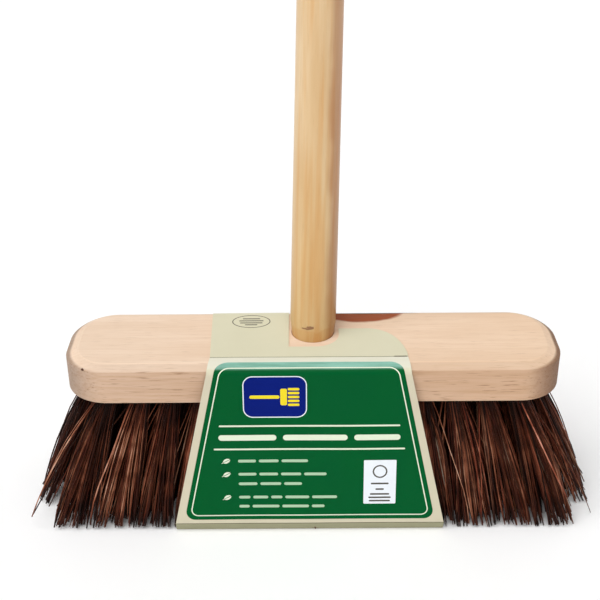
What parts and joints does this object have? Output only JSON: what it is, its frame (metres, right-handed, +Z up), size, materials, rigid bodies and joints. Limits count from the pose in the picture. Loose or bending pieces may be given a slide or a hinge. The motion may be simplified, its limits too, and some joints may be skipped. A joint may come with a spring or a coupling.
{
  "type": "push broom",
  "caption": "Push broom with a rounded wooden stock, four rows of flared dark fibre tufts, a raked push-fit wooden handle and a printed card sleeve.",
  "frame": {"origin": "on the floor, on the underside of the card sleeve, under the middle of the head", "axes": "+X along the head to the right as seen from the front, +Y to the back, where the handle leans, +Z up"},
  "size_m": [0.3588, 0.4594, 1.2482],
  "materials": {
    "stock_wood": "bare sanded hardwood, pale pinkish beige, fine short grain, unvarnished",
    "handle_wood": "turned softwood dowel, golden tan, smooth with a light satin varnish",
    "fibre": "stiff natural fibre, dark brown with reddish and a few pale strands, slightly glossy",
    "card": "coated carton board, cream outside with a green printed panel, light gloss"
  },
  "bodies": {
    "head": {"broom_stock": "stock_wood", "card_sleeve": "card", "tuft_row1_01": "fibre", "tuft_row1_02": "fibre", "tuft_row1_03": "fibre", "tuft_row1_04": "fibre", "tuft_row1_05": "fibre", "tuft_row1_06": "fibre", "tuft_row1_07": "fibre", "tuft_row1_08": "fibre", "tuft_row1_09": "fibre", "tuft_row1_10": "fibre", "tuft_row1_11": "fibre", "tuft_row1_12": "fibre", "tuft_row1_13": "fibre", "tuft_row1_14": "fibre", "tuft_row2_01": "fibre", "tuft_row2_02": "fibre", "tuft_row2_03": "fibre", "tuft_row2_04": "fibre", "tuft_row2_05": "fibre", "tuft_row2_06": "fibre", "tuft_row2_07": "fibre", "tuft_row2_08": "fibre", "tuft_row2_09": "fibre", "tuft_row2_10": "fibre", "tuft_row2_11": "fibre", "tuft_row2_12": "fibre", "tuft_row2_13": "fibre", "tuft_row2_14": "fibre", "tuft_row3_01": "fibre", "tuft_row3_02": "fibre", "tuft_row3_03": "fibre", "tuft_row3_04": "fibre", "tuft_row3_05": "fibre", "tuft_row3_06": "fibre", "tuft_row3_07": "fibre", "tuft_row3_08": "fibre", "tuft_row3_09": "fibre", "tuft_row3_10": "fibre", "tuft_row3_11": "fibre", "tuft_row3_12": "fibre", "tuft_row3_13": "fibre", "tuft_row3_14": "fibre", "tuft_row4_01": "fibre", "tuft_row4_02": "fibre", "tuft_row4_03": "fibre", "tuft_row4_04": "fibre", "tuft_row4_05": "fibre", "tuft_row4_06": "fibre", "tuft_row4_07": "fibre", "tuft_row4_08": "fibre", "tuft_row4_09": "fibre", "tuft_row4_10": "fibre", "tuft_row4_11": "fibre", "tuft_row4_12": "fibre", "tuft_row4_13": "fibre", "tuft_row4_14": "fibre"},
    "handle": {"handle": "handle_wood"}
  },
  "joints": [
    {"name": "handle_pull", "type": "slide", "parent": "head", "child": "handle", "axis": [0.0297, 0.3256, 0.9451], "range_m": [0, 0.06]}
  ]
}
